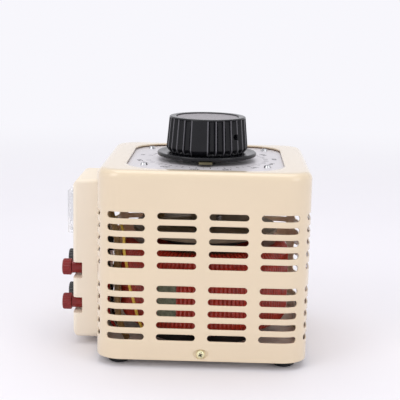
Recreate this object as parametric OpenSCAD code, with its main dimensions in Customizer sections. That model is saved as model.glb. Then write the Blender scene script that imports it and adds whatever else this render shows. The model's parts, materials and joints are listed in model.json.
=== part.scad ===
// Variable autotransformer with a knob on top and a terminal box on its front.
// +Z is up, the terminal box faces -Y, and the origin is on the knob's axis at the bench.

/* [Case] */
// Width of the square case, wall to wall
case_w = 130; // [128:1:140]
// Height of the top face above the bench
case_top = 121.7; // [121.4:0.1:122.2]
// Height of the underside of the case above the bench
case_bottom = 5; // [4.6:0.1:5.4]
// Radius of the upright corners, seen from above
case_corner = 16; // [14:0.5:18]
// Thickness of the sheet steel
sheet = 1.2; // [1:0.1:1.4]
// Depth of the opening over the dial, along X
dial_hole_x = 112; // [108:1:114]
// Width of the opening over the dial, along Y
dial_hole_y = 98; // [94:1:102]

/* [Ventilation slots] */
// Length of a slot in the middle columns
slot_len = 23.8; // [22:0.1:24]
// Length of a slot in the outer columns
slot_len_outer = 23; // [21:0.1:23]
// Height of a slot
slot_h = 4; // [3:0.1:4.4]
// Gap between neighbouring columns
slot_gap = 7.3; // [7:0.1:8]
// Step between neighbouring rows
row_step = 7.6; // [7.4:0.1:7.7]
// Height of the lowest row
first_row_z = 19.6; // [19:0.1:20]
// Height of the lowest row of the upper block
upper_row_z = 64.4; // [64:0.1:65]
// Rows in each of the two blocks
block_rows = 5; // [3:1:5]

/* [Knob] */
// Radius of the skirt under the knob
skirt_r = 32; // [30:0.5:33]
// Widest radius of the fluted body
knob_r = 26.3; // [25.5:0.1:27]
// Radius of the body at its top rim
knob_top_r = 24.6; // [24:0.1:25]
// Height of the knob's top above the bench
knob_top = 148.1; // [147:0.1:149]
// Positions for flutes round the body
flute_count = 30; // [26:2:34]

/* [Coil] */
// Outer radius of the winding
coil_r = 55; // [53:0.5:55.5]
// Inner radius of the winding
coil_hole_r = 20.5; // [20:0.5:21]
// Height of the underside of the winding
coil_z0 = 15.5; // [15:0.1:16]
// Height of the top track of the winding
coil_z1 = 68; // [67:0.1:68.4]
// Angle of the part of the core with no winding
gap_angle = 16; // [12:1:20]
// Direction of the middle of that gap, from +X
gap_mid = 150; // [145:1:155]
// Diameter of the shaft
shaft_d = 8; // [7.9:0.05:8.05]

/* [Terminal box] */
// Width of the box, along X
box_w = 48; // [47:0.5:50]
// Distance of the box face from the knob's axis
box_face = 84; // [83.5:0.1:84.5]
// Height of the underside of the box
box_z0 = 4.8; // [4.6:0.1:5.2]
// Height of the top of the box
box_z1 = 108.8; // [108.4:0.1:109.2]
// Height of the upper pair of binding posts
post_z_upper = 49.2; // [49:0.1:49.6]
// Height of the lower pair of binding posts
post_z_lower = 26; // [25.6:0.1:26.2]
// Distance of the posts from the middle of the box, along X
post_x = 14; // [13.5:0.1:14.5]
// Distance of the post tips from the knob's axis
post_tip = 91.8; // [91.6:0.1:92]
// Diameter of a post cap
cap_d = 10.6; // [10:0.1:11]

/* [Hidden] */
$fn = 64;

case_half = case_w / 2;
inner_half = case_half - sheet;
pan_gap = 0.4;
pan_half = inner_half - pan_gap;
pan_sheet = 1.5;
pan_floor = case_bottom + pan_sheet;
pan_rim = 15;
slip = 0.05;
eps = 0.01;

top_plate_t = 1.5;
dial_t = 1.2;
dial_gap = 0.5;
dial_top = case_top - sheet - dial_gap;
dial_bottom = dial_top - dial_t;
top_plate_z = dial_bottom - top_plate_t;
plate_edge = 2.5;
dial_screw_near = 30;
dial_screw_far = 42;
dial_screw_y = 38.5;

shaft_r = shaft_d / 2;
shaft_z0 = 8;
shaft_z1 = 141;
bush_r = 6.5;
tube_r = 9.5;
spigot_r = tube_r - 1.5;
tube_top = coil_z1 + 5.6;
bush_h = 10;

core_gap = 0.3;
board_dir = -23.4;
board_angle = 13;
board_z0 = 26;
board_z1 = 51;
board_t = 1.2;
core_r0 = coil_hole_r + 5.5;
core_r1 = coil_r - 5.5;
core_z0 = coil_z0 + 5.5;
core_z1 = coil_z1 - 5.5;
coil_round = 8;
insulator_z0 = pan_floor;
insulator_r = 38;
clamp_r = 29;
clamp_z1 = coil_z1 + 3;
rod_circle = 15.2;
rod_r = 1.9;
rod_top = clamp_z1 + 2;
nut_h = 1.6;

skirt_z1 = 125.2;
skirt_z0 = 122.8;
hub_z0 = 121.8;
hub_r = 26;
pointer_t = 1;
pointer_w = 8.5;
pointer_r = 35;
knob_neck_r = 24.2;
knob_belly_z = 128.5;
disc_r = 19.7;
disc_t = 1;
rim_depth = 1.6;
flute_r = 2.4;
knob_taper = atan((knob_r - knob_top_r) / (knob_top - knob_belly_z));
flat_dir = -10;
set_screw_dir = 50;
set_screw_z = 136.5;
set_screw_r = 1.7;

arm_z0 = coil_z1 + 6.6;
arm_t = 2.4;
arm_r = 47;
arm_hub_r = 10;
arm_hub_top = arm_z0 + 12.4;
arm_screw_z = arm_z0 + 7.4;
fin_count = 5;
brush_dir = gap_mid + 90;
brush_circle = 41;
brush_x = 8;
brush_y = 6;
brush_z0 = coil_z1 + 0.3;
brush_z1 = brush_z0 + 14;
holder_wall = 1.2;
holder_top = arm_z0 + 16.4;
guide_gap = 0.3;
spring_wire = 0.4;
spring_r = 2.2;
spring_turns = 6;
ring_r0 = 11;
ring_r1 = 13.1;

box_half = box_w / 2;
box_mid_z = (box_z0 + box_z1) / 2;
box_back = case_half + 0.1;
box_wall = 2;
box_round = 5.5;
box_edge = 3;
box_window = 32;
box_window_z0 = 12;
box_window_h = 88;
box_screw_x = 19.3;
box_screw_zs = [18.4, 102];
box_boss_r = 3.1;
trough_depth = 6;
trough_floor = box_face - trough_depth;
trough_below = 5;
trough_above = 5.4;
post_zs = [post_z_upper, post_z_lower];
stud_r = 2.7;
socket_r = 2.05;
socket_depth = 14;
collar_r = 4;
flange_r = 4.3;
flange_t = 0.9;
cap_len = 6;
cap_back = post_tip - cap_len;
stud_back = trough_floor - box_wall - 5.4;

meter_w = 38;
meter_h = 28;
meter_z = 86.8;
meter_lip = 3;
meter_front = 87.8;
meter_scale_y = 83.2;
meter_back = 70;
pivot_z = meter_z - 6.5;
needle_len = 14.5;
needle_rest = -44;
tail_len = 2.2;

fuse_x = 0;
fuse_z = 63;
fuse_r = 5.6;
fuse_bore_r = 4.5;
fuse_tube_r = 2.5;
fuse_recess_r = 7.6;
fuse_back = 60;

stop_half = 6.4;
stop_z0 = arm_z0 + 12;

lead_sides = 8;
sleeve_r = 2;

// ---- shapes used more than once ----

// A flat rectangle with round corners, made of exact squares and circles
module rounded_rect(x, y, r) {
    square([x, y - 2 * r], center = true);
    square([x - 2 * r, y], center = true);
    for (sx = [-1, 1], sy = [-1, 1])
        translate([sx * (x / 2 - r), sy * (y / 2 - r)]) circle(r);
}

// A bar along X with round ends
module stadium(len, h) {
    square([len - h, h], center = true);
    for (s = [-1, 1]) translate([s * (len - h) / 2, 0]) circle(h / 2, $fn = 24);
}

module rounded_prism(x, y, r, z0, z1) {
    translate([0, 0, z0]) linear_extrude(z1 - z0) rounded_rect(x, y, r);
}

module rod(r, z0, z1, sides = 48) {
    translate([0, 0, z0]) cylinder(r = r, h = z1 - z0, $fn = sides);
}

module tube(r_out, r_in, z0, z1) {
    difference() {
        rod(r_out, z0, z1);
        rod(r_in, z0 - 1, z1 + 1);
    }
}

// A rod along Y from y0 out to the front at y1, both given as distances in -Y
module front_rod(r, y0, y1, sides = 48) {
    translate([0, -y0, 0]) rotate([90, 0, 0]) cylinder(r = r, h = y1 - y0, $fn = sides);
}

module front_tube(r_out, r_in, y0, y1) {
    difference() {
        front_rod(r_out, y0, y1);
        front_rod(r_in, y0 - 1, y1 + 1);
    }
}

module at_corners(x, y) {
    for (sx = [-1, 1], sy = [-1, 1]) translate([sx * x, sy * y, 0]) children();
}

module at_rods() {
    for (a = [30 : 120 : 270]) rotate([0, 0, a]) translate([rod_circle, 0, 0]) children();
}

module at_dial_screws() {
    for (x = [-dial_screw_far, dial_screw_near], s = [-1, 1])
        translate([x, s * dial_screw_y, 0]) children();
}

module at_box_screws() {
    for (s = [-1, 1], z = box_screw_zs) translate([s * box_screw_x, 0, z]) children();
}

module at_posts(xs) {
    for (x = xs, z = post_zs) translate([x, 0, z]) children();
}

// Round-cornered section of the coil's ring, in the plane of rotate_extrude
module ring_section(r0, r1, z0, z1, r) {
    translate([(r0 + r1) / 2, (z0 + z1) / 2]) rounded_rect(r1 - r0, z1 - z0, r);
}

// A pan-head screw with its head up, its seat at z = 0
module pan_screw(r, head_r, length) {
    translate([0, 0, -length]) cylinder(r = r, h = length, $fn = 32);
    difference() {
        cylinder(r1 = head_r, r2 = head_r * 0.72, h = head_r * 0.62, $fn = 32);
        for (a = [0, 90]) rotate([0, 0, a])
            translate([0, 0, head_r * 0.62]) cube([head_r * 1.2, 0.7, 1], center = true);
    }
}

// Points between the hand-placed ones, on a smooth curve through them
function spline(p, i, t) = let (
    a = p[max(i - 1, 0)], b = p[i], c = p[i + 1], d = p[min(i + 2, len(p) - 1)])
    0.5 * (2 * b + (c - a) * t + (2 * a - 5 * b + 4 * c - d) * t * t
        + (3 * b - a - 3 * c + d) * t * t * t);
function smooth(p, steps) = concat(
    [for (i = [0 : len(p) - 2], k = [0 : steps - 1]) spline(p, i, k / steps)], [p[len(p) - 1]]);
function unit(v) = v / norm(v);
function along(p, i) = unit(p[min(i + 1, len(p) - 1)] - p[max(i - 1, 0)]);
function side_of(t) = unit(cross(t, abs(t[2]) < 0.9 ? [0, 0, 1] : [1, 0, 0]));
function carried(p, i) = i == 0 ? side_of(along(p, 0)) :
    let (last = carried(p, i - 1), t = along(p, i)) unit(last - (last * t) * t);

// A closed tube swept along a list of points
module sweep(p, r, sides) {
    last = len(p) - 1;
    rings = [for (i = [0 : last]) let (t = along(p, i), u = carried(p, i), v = cross(t, u))
        for (k = [0 : sides - 1]) p[i] + r * (cos(360 * k / sides) * u + sin(360 * k / sides) * v)];
    walls = [for (i = [0 : last - 1], k = [0 : sides - 1])
        let (n = (k + 1) % sides, a = i * sides) each
        [[a + n, a + k, a + sides + k], [a + sides + n, a + n, a + sides + k]]];
    ends = [[for (k = [0 : sides - 1]) k], [for (k = [sides - 1 : -1 : 0]) last * sides + k]];
    polyhedron(points = rings, faces = concat(walls, ends));
}

// ---- base and case ----

module base_plate() {
    color("lightgrey") difference() {
        rounded_prism(2 * pan_half, 2 * pan_half, case_corner - sheet, case_bottom, pan_rim);
        rounded_prism(2 * (pan_half - pan_sheet), 2 * (pan_half - pan_sheet),
            case_corner - sheet - pan_sheet, pan_floor, pan_rim + 1);
        rod(spigot_r, 0, pan_rim);
        at_corners(51, 51) rod(2.1, 0, pan_rim);
        at_rods() rod(rod_r + slip, 0, pan_rim);
        for (a = [0, 90, 180]) rotate([0, 0, a]) translate([0, 0, 9.4]) rotate([0, 90, 0])
            cylinder(r = 1.6, h = case_w, $fn = 32);
    }
}

module rubber_feet() {
    color([0.07, 0.07, 0.07]) at_corners(51, 51) difference() {
        rotate_extrude($fn = 48)
            polygon([[0, 0], [5.6, 0], [6.8, 0.9], [7.5, case_bottom], [0, case_bottom]]);
        rod(2.1, -1, case_bottom + 1);
        rod(3.8, -1, 2);
    }
}

module foot_screws() {
    color("silver") at_corners(51, 51) {
        rod(1.9, 2, pan_floor + 4, 32);
        rod(3.4, 1, 2, 32);
        difference() {
            rod(3.5, pan_floor, pan_floor + 2.4, 6);
            rod(1.9, pan_floor - 1, pan_floor + 4, 32);
        }
    }
}

// Middle of each column of slots and its length
function column_y(c) = c < 2 ? (slot_gap + slot_len) / 2 : 1.5 * slot_gap + slot_len + slot_len_outer / 2;
function row_z(i) = i < block_rows ? first_row_z + i * row_step : upper_row_z + (i - block_rows) * row_step;

module slot_field(middle) {
    for (i = [0 : 2 * block_rows - 1], s = [-1, 1]) {
        if (middle) translate([s * column_y(0), row_z(i)]) stadium(slot_len, slot_h);
        translate([s * column_y(2), row_z(i)]) stadium(slot_len_outer, slot_h);
    }
}

module cover() {
    color([0.93, 0.87, 0.76]) difference() {
        rounded_prism(case_w, case_w, case_corner, case_bottom, case_top);
        rounded_prism(2 * inner_half, 2 * inner_half, case_corner - sheet, case_bottom - 1, case_top - sheet);
        rounded_prism(dial_hole_x, dial_hole_y, 24, case_top - 2 * sheet, case_top + 1);
        for (a = [0, 90, 180, 270]) rotate([0, 0, a])
            translate([case_half - case_corner, 0, 0]) rotate([90, 0, 90]) linear_extrude(case_corner + 1)
            slot_field(a != 270);
        for (a = [0, 90, 180]) rotate([0, 0, a]) translate([0, 0, 9.4]) rotate([0, 90, 0])
            cylinder(r = 1.9, h = case_w, $fn = 32);
        translate([-box_window / 2, -case_half - 1, box_window_z0]) cube([box_window, 4, box_window_h]);
        at_box_screws() front_rod(1.5, 50, 70, 32);
    }
}

module cover_screws() {
    color([0.86, 0.72, 0.4]) for (a = [0, 90, 180]) rotate([0, 0, a])
        translate([case_half, 0, 9.4]) rotate([0, 90, 0]) pan_screw(1.5, 2.6, 6);
}

module top_plate() {
    color("grey") difference() {
        rounded_prism(dial_hole_x + 2 * plate_edge, dial_hole_y + 2 * plate_edge, 26,
            top_plate_z, dial_bottom);
        rod(bush_r, 0, case_top);
        at_dial_screws() rod(1.35, 0, case_top, 32);
    }
}

module dial_plate() {
    color([0.86, 0.85, 0.86]) difference() {
        rounded_prism(dial_hole_x + 2 * plate_edge, dial_hole_y + 2 * plate_edge, 26, dial_bottom, dial_top);
        rod(bush_r, 0, case_top);
        at_dial_screws() rod(1.5, 0, case_top, 32);
    }
}

module dial_screws() {
    color("silver") at_dial_screws() translate([0, 0, dial_top]) pan_screw(1.3, 2.4, 3.6);
}

// Block under the top plate that stops the brush holder on both sides of the winding's gap
module stop_block() {
    color("grey") rotate([0, 0, gap_mid]) translate([brush_circle - 2, -stop_half, stop_z0])
        cube([4, 2 * stop_half, top_plate_z - stop_z0]);
}

// ---- coil and its clamping ----

module base_insulator() {
    color([0.09, 0.08, 0.08]) difference() {
        rod(insulator_r, insulator_z0, coil_z0, 96);
        rod(tube_r + 0.2, 0, coil_z1);
        at_rods() rod(rod_r + slip, 0, coil_z1);
        for (a = [0 : 45 : 315]) rotate([0, 0, a]) translate([27, 0, 0]) rod(5, insulator_z0 + 3, coil_z0 + 1);
    }
}

module core() {
    color([0.35, 0.34, 0.34]) tube(core_r1, core_r0, core_z0, core_z1);
}

module winding() {
    color([0.62, 0.1, 0.06]) rotate([0, 0, gap_mid + gap_angle / 2])
        rotate_extrude(angle = 360 - gap_angle, $fn = 128) difference() {
            ring_section(coil_hole_r, coil_r, coil_z0, coil_z1, coil_round);
            translate([core_r0 - core_gap, core_z0 - core_gap])
                square([core_r1 - core_r0 + 2 * core_gap, core_z1 - core_z0 + 2 * core_gap]);
        }
}

module gap_insulation() {
    color([0.5, 0.53, 0.45]) rotate([0, 0, gap_mid - gap_angle / 2 + 0.5])
        rotate_extrude(angle = gap_angle - 1, $fn = 128) difference() {
            ring_section(coil_hole_r + 2, coil_r - 2, coil_z0 + 2, coil_z1 - 2, coil_round - 2);
            translate([core_r0 - core_gap, core_z0 - core_gap])
                square([core_r1 - core_r0 + 2 * core_gap, core_z1 - core_z0 + 2 * core_gap]);
        }
}

// Board over the winding's taps, under the slots of the +X side
module tap_board() {
    color([0.5, 0.53, 0.45]) rotate([0, 0, board_dir - board_angle / 2])
        rotate_extrude(angle = board_angle, $fn = 128)
        translate([coil_r + 0.1, board_z0]) square([board_t, board_z1 - board_z0]);
}

module clamp_plate() {
    color([0.12, 0.1, 0.1]) difference() {
        rod(clamp_r, coil_z1, clamp_z1, 96);
        rod(tube_r + 0.2, 0, 100);
        at_rods() rod(rod_r + slip, 0, 100);
    }
}

module tie_rods() {
    color("silver") at_rods() {
        rod(rod_r, case_bottom + 0.1, rod_top, 32);
        rod(3, case_bottom - 1.6, case_bottom, 32);
        rod(rod_r, case_bottom - 0.5, case_bottom + 0.1, 32);
    }
}

module tie_nuts() {
    color("silver") at_rods() difference() {
        rod(3.4, clamp_z1, clamp_z1 + nut_h, 6);
        rod(rod_r + slip, 0, 100, 32);
    }
}

module bearing_tube() {
    color("grey") difference() {
        union() {
            rod(tube_r, pan_floor, tube_top);
            rod(spigot_r, case_bottom - 1.5, pan_floor);
        }
        rod(bush_r, pan_floor, 100);
        rod(shaft_r + 1, 0, 100);
    }
}

module lower_bush() {
    color([0.8, 0.65, 0.35]) tube(bush_r - 0.02, shaft_r + slip, pan_floor, pan_floor + bush_h);
}

module upper_bush() {
    color([0.8, 0.65, 0.35]) {
        tube(bush_r - 0.02, shaft_r + slip, top_plate_z - 5, dial_top + 0.6);
        tube(bush_r + 3, bush_r - 0.1, top_plate_z - 2.5, top_plate_z);
    }
}

// Ring on the clamp plate that takes the current from the turning arm
module collector_ring() {
    color([0.8, 0.65, 0.35]) tube(27, 19.8, clamp_z1, clamp_z1 + 1.2);
}

// ---- turning parts ----

module shaft() {
    color("silver") rod(shaft_r, shaft_z0, shaft_z1);
}

module knob() {
    color([0.06, 0.06, 0.07]) difference() {
        rotate_extrude($fn = 96) polygon([[0, skirt_z1], [knob_neck_r, skirt_z1],
            [knob_r - 0.9, knob_belly_z - 1.7], [knob_r, knob_belly_z], [knob_top_r, knob_top - 1],
            [knob_top_r - 1, knob_top], [0, knob_top]]);
        rod(shaft_r + 0.02, 0, shaft_z1 + 0.5);
        rod(disc_r + 0.3, knob_top - rim_depth, knob_top + 1, 96);
        for (k = [1 : flute_count - 2]) rotate([0, 0, flat_dir + (k + 0.5) * 360 / flute_count])
            translate([knob_r + 0.3, 0, knob_belly_z]) rotate([0, -knob_taper, 0]) translate([0, 0, -10])
            cylinder(r = flute_r, h = 40, $fn = 24);
        rotate([0, 0, set_screw_dir]) translate([0, 0, set_screw_z]) rotate([0, 90, 0])
            cylinder(r = set_screw_r, h = 40, $fn = 32);
    }
}

module knob_disc() {
    color([0.36, 0.33, 0.37]) rod(disc_r, knob_top - rim_depth, knob_top - rim_depth + disc_t, 96);
}

module knob_skirt() {
    color([0.05, 0.05, 0.06]) difference() {
        union() {
            rod(hub_r, hub_z0, skirt_z0 + eps, 96);
            rotate_extrude($fn = 128) polygon([[0, skirt_z0], [skirt_r - 0.6, skirt_z0],
                [skirt_r, skirt_z0 + 0.6], [skirt_r, skirt_z1 - 0.7],
                [skirt_r - 0.8, skirt_z1], [0, skirt_z1]]);
        }
        rod(shaft_r + 0.02, 0, 200);
        translate([10, -pointer_w / 2, hub_z0 - 1]) cube([hub_r, pointer_w, 1 + pointer_t]);
    }
}

// Brass tongue let into the underside of the skirt
module pointer() {
    color([0.8, 0.62, 0.3]) translate([11, -pointer_w / 2 + 0.1, hub_z0 - 0.2])
        cube([pointer_r - 11, pointer_w - 0.2, pointer_t + 0.2]);
}

module knob_set_screw() {
    color("dimgrey") rotate([0, 0, set_screw_dir]) translate([shaft_r + 0.1, 0, set_screw_z]) rotate([0, 90, 0])
        cylinder(r = set_screw_r - 0.05, h = 15, $fn = 32);
}

module at_brush() {
    rotate([0, 0, brush_dir]) translate([brush_circle, 0, 0]) children();
}

module at_arm_screw() {
    rotate([0, 0, brush_dir + 180]) translate([0, 0, arm_screw_z]) rotate([0, 90, 0]) children();
}

module brush_arm() {
    color([0.2, 0.2, 0.21]) difference() {
        union() {
            rod(arm_r, arm_z0, arm_z0 + arm_t, 96);
            rod(arm_hub_r, arm_z0, arm_hub_top);
            for (k = [1 : fin_count]) rotate([0, 0, brush_dir + 60 * k])
                translate([arm_hub_r - 1, -1, arm_z0 + arm_t - eps]) cube([arm_r - arm_hub_r - 4, 2, 6]);
        }
        rod(shaft_r + 0.02, 0, 200);
        at_brush() translate([0, 0, arm_z0])
            cube([brush_x + 2 * guide_gap, brush_y + 2 * guide_gap, 20], center = true);
        at_arm_screw() cylinder(r = 2, h = 30, $fn = 32);
    }
}

module arm_set_screw() {
    color("silver") at_arm_screw() translate([0, 0, shaft_r + 0.1]) cylinder(r = 1.9, h = 7, $fn = 32);
}

// A block over the brush, wider than it by grow on its four sides
module guide_block(grow, z0, z1) {
    translate([-brush_x / 2 - grow, -brush_y / 2 - grow, z0])
        cube([brush_x + 2 * grow, brush_y + 2 * grow, z1 - z0]);
}

module brush_holder() {
    color([0.75, 0.62, 0.35]) at_brush() difference() {
        guide_block(guide_gap + holder_wall, arm_z0 + arm_t, holder_top);
        guide_block(guide_gap, 0, holder_top - holder_wall);
    }
}

module carbon_brush() {
    color([0.13, 0.13, 0.14]) at_brush() translate([-brush_x / 2, -brush_y / 2, brush_z0])
        cube([brush_x, brush_y, brush_z1 - brush_z0]);
}

module brush_spring() {
    rise = holder_top - holder_wall - brush_z1 - 2 * spring_wire - 0.1;
    steps = 10;
    count = spring_turns * steps;
    turn = [for (i = [0 : count]) [spring_r * cos(360 * i / steps), spring_r * sin(360 * i / steps),
        brush_z1 + spring_wire + 0.05 + rise * i / count]];
    color("silver") at_brush() sweep(turn, spring_wire, 6);
}

// Bronze leaf under the arm that rubs on the collector ring
module pickup_leaf() {
    color([0.8, 0.6, 0.35]) rotate([0, 0, brush_dir]) difference() {
        translate([20.5, -3, clamp_z1 + 1.5]) cube([9, 6, arm_z0 - clamp_z1 - 1.5]);
        translate([20, -4, clamp_z1 + 2.1]) cube([7.5, 8, arm_z0 - clamp_z1 - 2.7]);
    }
}

// ---- leads, held by the case and the box all the way ----

module lead_yellow() {
    color([0.9, 0.75, 0.15]) sweep(smooth([[48, -32, 12], [55, -37.5, 24], [57.2, -42.1, 41],
        [57.4, -44.2, 48.5], [57.2, -46.3, 63], [57, -47.8, 71], [53, -48.6, 79.5], [46, -51.4, 86],
        [38, -57, 89], [28, -59.8, 88], [16, -62, 86], [8, -66, 80], [4, -68.4, 76]], 4),
        0.9, lead_sides);
}

module lead_red() {
    color([0.75, 0.1, 0.08]) sweep(smooth([[22, -57, 12], [24, -59.5, 18], [25, -61, 27], [22, -61.5, 36],
        [18, -61.6, 43], [14.2, -64, 47.5], [14, -68, 49.2], [14, -70.4, 49.2]], 5),
        0.9, lead_sides);
}

module lead_black() {
    color([0.08, 0.08, 0.08]) sweep(smooth([[14, -56.5, 12], [6, -60, 18], [2, -61, 26], [-4, -62, 36],
        [-10, -65, 46], [-14, -68, 49.2], [-14, -70.4, 49.2]], 5), 0.9, lead_sides);
}

module lead_green() {
    color([0.3, 0.5, 0.25]) sweep(smooth([[-40, -45, 11], [-48, -52, 20], [-44, -59, 34], [-30, -61, 44],
        [-20, -62, 42], [-13, -63, 34], [-13.6, -66, 27], [-14, -68, 26], [-14, -70.4, 26]], 5),
        0.9, lead_sides);
}

// The supply lead in its thick sleeve
module lead_brown() {
    color([0.35, 0.2, 0.1]) sweep(smooth([[44, -47, 12], [49, -51, 24], [51.6, -52.4, 36], [52, -52.4, 47],
        [52, -52.4, 62], [51.6, -52.7, 76], [49, -55.5, 89], [38, -60.6, 96], [22, -61.4, 97.6],
        [4, -61.4, 97], [-4, -63.5, 91], [-6, -66, 82], [-6, -67.4, 76]], 4), sleeve_r, lead_sides);
}

// ---- terminal box ----

// The box's outer form: round-cornered from above, from the front and from the side
module box_form() {
    depth = box_face - box_back;
    intersection() {
        translate([0, -box_face + depth, 0]) rounded_prism(box_w, 2 * depth, box_edge, box_z0, box_z1);
        translate([0, -box_back, box_mid_z]) rotate([90, 0, 0]) linear_extrude(depth)
            rounded_rect(box_w, box_z1 - box_z0, box_edge);
        translate([-box_half, -box_face + depth, box_mid_z]) rotate([90, 0, 90]) linear_extrude(box_w)
            rounded_rect(2 * depth, box_z1 - box_z0, box_round);
    }
}

module box_cavity() {
    depth = box_face - box_wall - 50;
    translate([0, -50 - depth / 2, 0]) rounded_prism(box_w - 2 * box_wall, depth, 2,
        box_z0 + box_wall, box_z1 - box_wall);
}

module terminal_box() {
    color([0.94, 0.89, 0.8]) difference() {
        union() {
            difference() {
                box_form();
                box_cavity();
            }
            for (z = post_zs) translate([-box_half + 1, -box_face + 1, z - trough_below - box_wall])
                cube([box_w - 2, trough_depth + box_wall - 1, trough_below + trough_above + 2 * box_wall]);
            at_box_screws() front_rod(box_boss_r, box_back, box_face - 2, 32);
            translate([fuse_x, 0, fuse_z])
                front_rod(fuse_recess_r + box_wall, trough_floor - box_wall, box_face - 1);
        }
        for (z = post_zs) translate([-box_half - 1, -box_face - 1, z - trough_below])
            cube([box_w + 2, trough_depth + 1, trough_below + trough_above]);
        at_posts([-post_x, post_x]) front_rod(stud_r + 0.1, 60, 95);
        at_box_screws() front_rod(1.05, 60, box_face - 4, 32);
        translate([fuse_x, 0, fuse_z]) {
            front_rod(fuse_recess_r, trough_floor, 95);
            front_rod(fuse_r, 60, 95);
        }
        translate([-meter_w / 2 + meter_lip - 0.1, -95, meter_z - meter_h / 2 + meter_lip - 0.1])
            cube([meter_w - 2 * meter_lip + 0.2, 25, meter_h - 2 * meter_lip + 0.2]);
    }
}

module box_screws() {
    color("silver") at_box_screws() translate([0, -inner_half, 0]) rotate([-90, 0, 0]) pan_screw(1, 2.2, 8);
}

module post_studs() {
    color([0.85, 0.72, 0.42]) at_posts([-post_x, post_x]) difference() {
        front_rod(stud_r, stud_back, post_tip - 0.2);
        front_rod(socket_r, post_tip - 0.2 - socket_depth, post_tip + 1);
    }
}

module post_washers() {
    color("silver") at_posts([-post_x, post_x])
        front_tube(4.6, stud_r + slip, trough_floor - box_wall - 0.8, trough_floor - box_wall);
}

module post_nuts() {
    color([0.8, 0.68, 0.4]) at_posts([-post_x, post_x]) difference() {
        front_rod(4.4, trough_floor - box_wall - 3.6, trough_floor - box_wall - 0.8, 6);
        front_rod(stud_r + slip, 60, 95);
    }
}

module collars(x) {
    at_posts([x]) {
        front_tube(collar_r, stud_r + slip, trough_floor + flange_t, cap_back - 0.2);
        front_tube(flange_r, stud_r + slip, trough_floor, trough_floor + flange_t);
    }
}

module red_collars() {
    color([0.6, 0.08, 0.09]) collars(post_x);
}

module black_collars() {
    color([0.08, 0.08, 0.08]) collars(-post_x);
}

module post_cap(x, z) {
    translate([x, 0, z]) difference() {
        front_rod(cap_d / 2, cap_back, post_tip);
        front_rod(stud_r + slip, 60, 95);
        for (k = [0 : 23]) rotate([0, 15 * k, 0]) translate([cap_d / 2 + 0.25, 0, 0])
            front_rod(0.5, cap_back - 1, post_tip - 0.8, 16);
    }
}

module red_cap_upper() {
    color([0.62, 0.1, 0.11]) post_cap(post_x, post_z_upper);
}

module red_cap_lower() {
    color([0.62, 0.1, 0.11]) post_cap(post_x, post_z_lower);
}

module black_cap_upper() {
    color([0.08, 0.08, 0.08]) post_cap(-post_x, post_z_upper);
}

module black_cap_lower() {
    color([0.08, 0.08, 0.08]) post_cap(-post_x, post_z_lower);
}

// ---- voltmeter ----

// A block over the meter's front, shrunk by inset on its four sides
module meter_block(y0, y1, inset) {
    translate([-meter_w / 2 + inset, -y1, meter_z - meter_h / 2 + inset])
        cube([meter_w - 2 * inset, y1 - y0, meter_h - 2 * inset]);
}

module meter_case() {
    color([0.1, 0.1, 0.11]) difference() {
        meter_block(meter_back, box_face, meter_lip);
        meter_block(meter_back + 1.5, box_face + 1, meter_lip + 1.2);
    }
}

module meter_scale() {
    color("white") meter_block(meter_scale_y - 3, meter_scale_y - 2, meter_lip + 1.4);
}

module meter_pivot() {
    color("grey") translate([0, 0, pivot_z]) front_rod(0.8, meter_scale_y - 2, meter_scale_y + 0.6, 32);
}

module meter_needle() {
    color([0.1, 0.1, 0.1]) translate([0, 0, pivot_z]) rotate([0, needle_rest, 0]) difference() {
        union() {
            front_rod(1.7, meter_scale_y - 0.9, meter_scale_y - 0.1, 32);
            translate([-0.4, -meter_scale_y + 0.2, 0]) cube([0.8, 0.5, needle_len]);
            translate([-1, -meter_scale_y + 0.2, -tail_len]) cube([2, 0.5, tail_len]);
        }
        front_rod(0.8 + slip, 60, 90, 32);
    }
}

module meter_window() {
    color([0.85, 0.88, 0.9, 0.5]) difference() {
        meter_block(box_face, meter_front, 0);
        meter_block(box_face - 1, meter_front - 1.4, 1.4);
    }
}

// ---- fuse ----

module fuse_holder() {
    color([0.1, 0.1, 0.1]) translate([fuse_x, 0, fuse_z]) {
        front_tube(fuse_r - 0.1, fuse_bore_r, fuse_back + 1.2, trough_floor + 1);
        front_tube(fuse_r + 1.4, fuse_r - 0.2, trough_floor, trough_floor + 1);
        front_rod(fuse_r - 0.1, fuse_back, fuse_back + 1.2);
    }
}

module fuse_tube() {
    color([0.8, 0.85, 0.85]) translate([fuse_x, 0, fuse_z])
        front_rod(fuse_tube_r, fuse_back + 1.4, trough_floor - 1, 32);
}

module fuse_cap() {
    color([0.12, 0.12, 0.12]) translate([fuse_x, 0, fuse_z]) difference() {
        union() {
            front_rod(fuse_bore_r - 0.1, trough_floor - 4, trough_floor + 1.2);
            front_rod(fuse_r + 0.5, trough_floor + 1.2, box_face - 0.5);
        }
        front_rod(fuse_tube_r + 0.02, 60, trough_floor - 1, 32);
        translate([-4, -box_face, -0.5]) cube([8, 1.5, 1]);
    }
}

base_plate();
rubber_feet();
foot_screws();
cover();
cover_screws();
top_plate();
dial_plate();
dial_screws();
stop_block();
base_insulator();
core();
winding();
gap_insulation();
tap_board();
clamp_plate();
tie_rods();
tie_nuts();
bearing_tube();
lower_bush();
upper_bush();
collector_ring();
shaft();
knob();
knob_skirt();
knob_disc();
knob_set_screw();
pointer();
brush_arm();
arm_set_screw();
brush_holder();
brush_spring();
pickup_leaf();
carbon_brush();
lead_yellow();
lead_red();
lead_black();
lead_green();
lead_brown();
terminal_box();
box_screws();
meter_case();
meter_scale();
meter_pivot();
meter_needle();
meter_window();
post_studs();
post_washers();
post_nuts();
red_collars();
black_collars();
red_cap_upper();
red_cap_lower();
black_cap_upper();
black_cap_lower();
fuse_holder();
fuse_tube();
fuse_cap();
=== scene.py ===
import json
import math

import bpy
from mathutils import Matrix, Vector


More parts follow.
